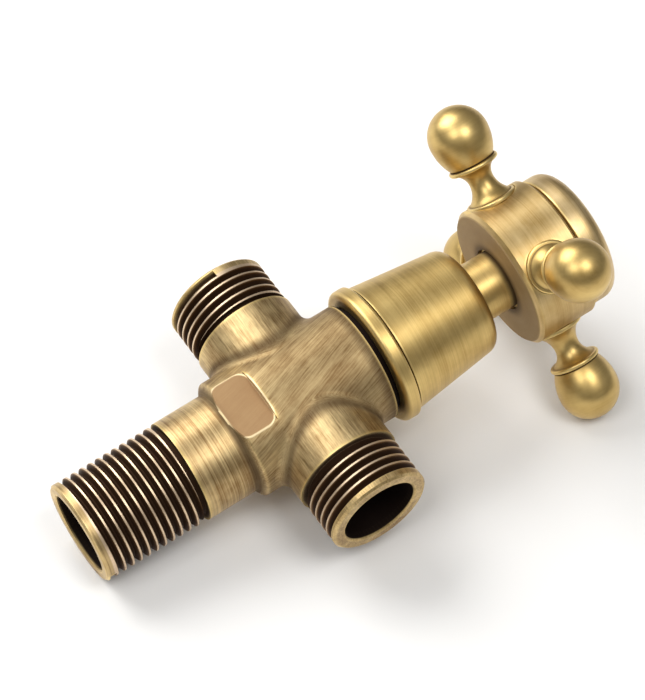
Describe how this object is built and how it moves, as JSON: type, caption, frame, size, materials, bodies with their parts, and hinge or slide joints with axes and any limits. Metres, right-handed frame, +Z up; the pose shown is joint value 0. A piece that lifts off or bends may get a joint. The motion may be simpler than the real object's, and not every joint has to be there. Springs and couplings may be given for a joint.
{
  "type": "angle stop valve",
  "caption": "Antique brass angle stop valve: threaded inlet, opposed threaded outlets, bell bonnet cover and a quarter-turn cross handle with ball-ended arms.",
  "frame": {"origin": "centre of the box's bottom: the level surface that the valve lies on", "axes": "+Z up from that surface; +X the level direction of the stem, from the inlet to the handle; +Y to the side of outlet 1. The stem climbs 8.8 degrees toward the handle, and the body is rolled 6 degrees about it, as it lies on its inlet rim and two handle balls."},
  "size_m": [0.1183, 0.0596, 0.0522],
  "materials": {
    "antique_brass_casting": "aged cast brass, hand brushed, dark in the corners",
    "antique_brass_turned": "aged turned brass, fine circular brushing",
    "antique_brass_polished": "aged turned brass, softly polished",
    "bright_brass": "plain machined brass",
    "red_fibre": "pressed fibre",
    "black_rubber": "moulded rubber",
    "white_ceramic": "lapped alumina ceramic",
    "white_ptfe": "cut sheet plastic",
    "white_nylon": "moulded nylon",
    "spring_steel": "bright zinc-plated steel"
  },
  "bodies": {
    "body": {"valve_body": "antique_brass_casting", "bonnet_cover": "antique_brass_turned", "cartridge_housing": "bright_brass", "body_washer": "red_fibre", "seat_seal": "black_rubber", "fixed_ceramic_disc": "white_ceramic"},
    "handle": {"moving_ceramic_disc": "white_ceramic", "spindle": "bright_brass", "spindle_o_ring_lower": "black_rubber", "spindle_o_ring_upper": "black_rubber", "thrust_washer": "white_ptfe", "retaining_clip": "spring_steel", "handle_sleeve": "antique_brass_turned", "handle_hub": "antique_brass_turned", "spline_bush": "white_nylon", "screw_lock_washer": "spring_steel", "handle_screw": "spring_steel", "index_cap": "antique_brass_turned", "cap_o_ring": "black_rubber", "handle_arm_1": "antique_brass_polished", "handle_arm_2": "antique_brass_polished", "handle_arm_3": "antique_brass_polished", "handle_arm_4": "antique_brass_polished"}
  },
  "joints": [
    {"name": "handle_turn", "type": "hinge", "parent": "body", "child": "handle", "pos_m": [0.04432, 0, 0.02611], "axis": [0.9882, 0, 0.1535], "range_deg": [0, 90]}
  ]
}
